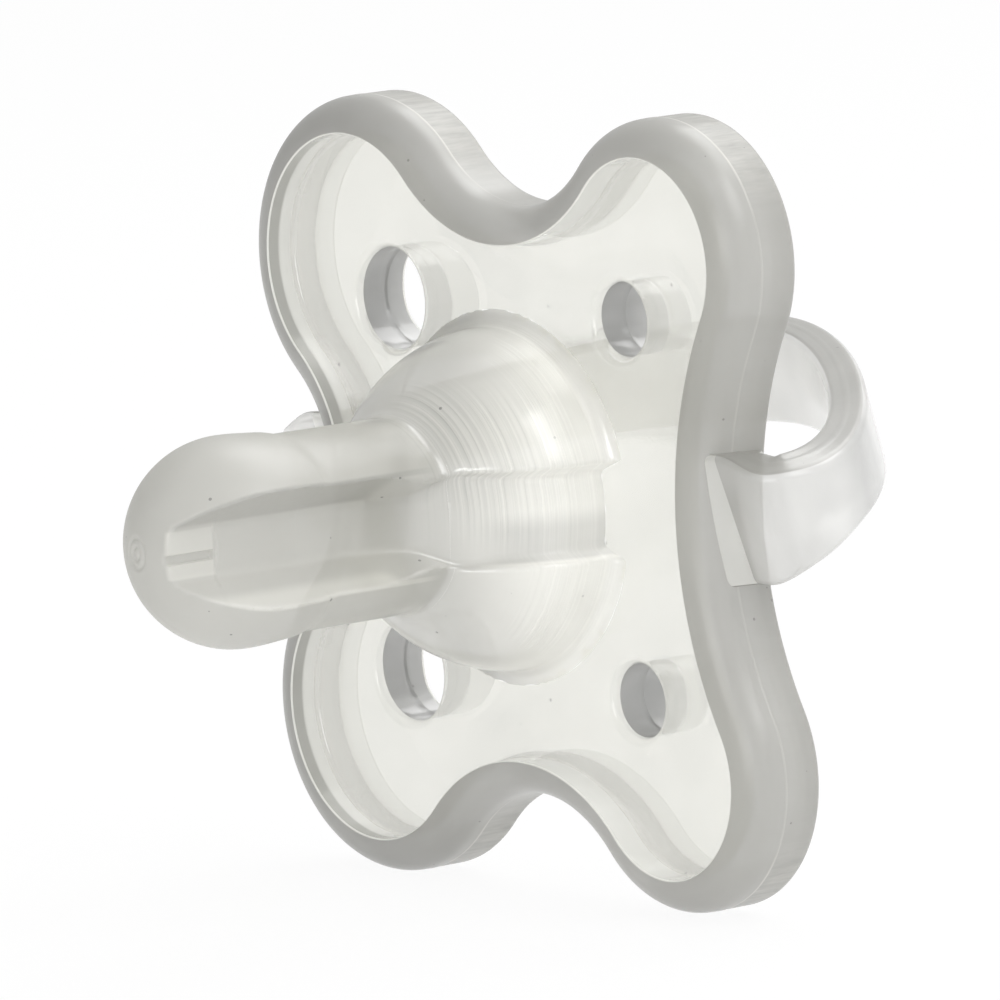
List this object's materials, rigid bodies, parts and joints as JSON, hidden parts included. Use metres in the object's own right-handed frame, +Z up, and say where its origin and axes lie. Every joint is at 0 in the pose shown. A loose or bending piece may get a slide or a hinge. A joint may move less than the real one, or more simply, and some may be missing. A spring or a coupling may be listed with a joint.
{
  "type": "pacifier",
  "caption": "One-piece soft pacifier: a butterfly shield with raised rim and vent holes, a grooved round-tipped teat, and a flexing loop handle.",
  "frame": {"origin": "on the teat's axis, on the front face of the shield plate", "axes": "-Y along the teat into the mouth, +Y to the handle, +Z up, -X the nose side of the shield and +X the chin side"},
  "size_m": [0.0504, 0.0521, 0.05],
  "materials": {
    "clear_silicone": "satin moulded, semi-clear",
    "rim_silicone": "satin moulded, translucent",
    "root_silicone": "satin moulded, translucent",
    "dome_silicone": "fine turned marks, glossy",
    "teat_silicone": "satin, milky",
    "handle_silicone": "satin moulded, translucent"
  },
  "bodies": {
    "shield": {"shield_plate": "clear_silicone", "shield_rim": "rim_silicone", "handle_root_chin": "root_silicone", "handle_root_nose": "root_silicone", "teat_dome": "dome_silicone", "teat_neck": "teat_silicone", "teat_bulb": "teat_silicone"},
    "handle": {"handle_loop": "handle_silicone"}
  },
  "joints": [
    {"name": "handle_flex", "type": "hinge", "parent": "shield", "child": "handle", "pos_m": [0.0023, 0.00115, 0], "axis": [1, 0, 0], "range_deg": [-66, 34], "stiffness_Nm_per_rad": 0.02}
  ]
}
